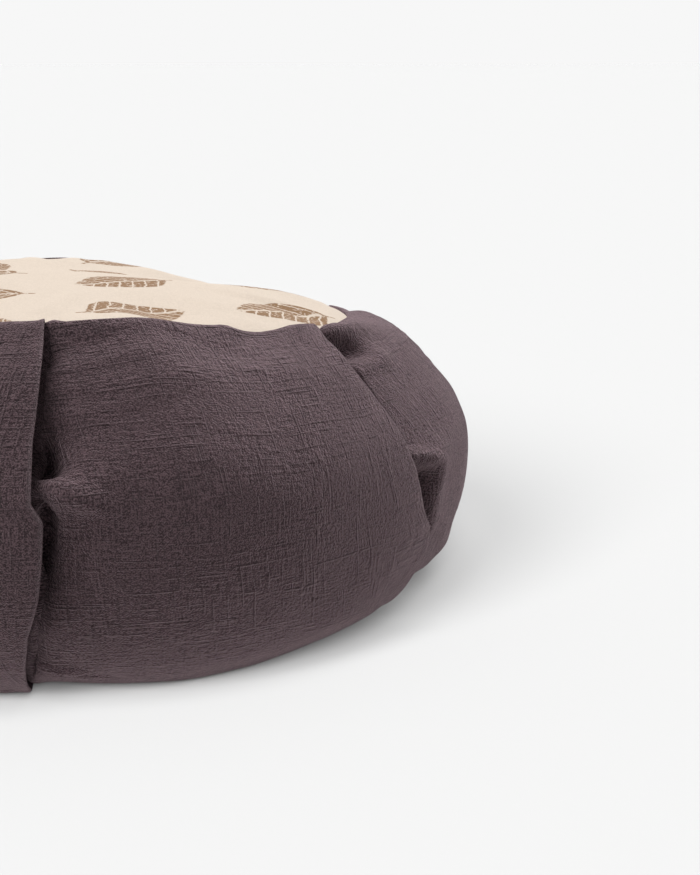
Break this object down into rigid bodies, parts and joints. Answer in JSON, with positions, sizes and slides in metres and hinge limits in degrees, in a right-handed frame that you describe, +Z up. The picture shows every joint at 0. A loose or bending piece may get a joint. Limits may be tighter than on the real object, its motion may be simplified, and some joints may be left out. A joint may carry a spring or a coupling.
{
  "type": "zafu meditation cushion",
  "caption": "Round meditation cushion with a deep, knife-pleated side band between a printed top panel and a plain bottom panel, filled firm for sitting on the floor.",
  "frame": {"origin": "on the floor under the middle of the cushion's bounding box", "axes": "+Z up through the top panel, -Y towards the picture's front, +X to the right"},
  "size_m": [0.411, 0.4106, 0.1578],
  "materials": {
    "side_cloth": "dark aubergine-charcoal slub cotton",
    "panel_print": "cream cotton with brown printed leaves",
    "base_cloth": "dark aubergine-charcoal slub cotton"
  },
  "bodies": {
    "root": {"side_band": "side_cloth", "top_panel": "panel_print", "bottom_panel": "base_cloth"}
  },
  "joints": []
}
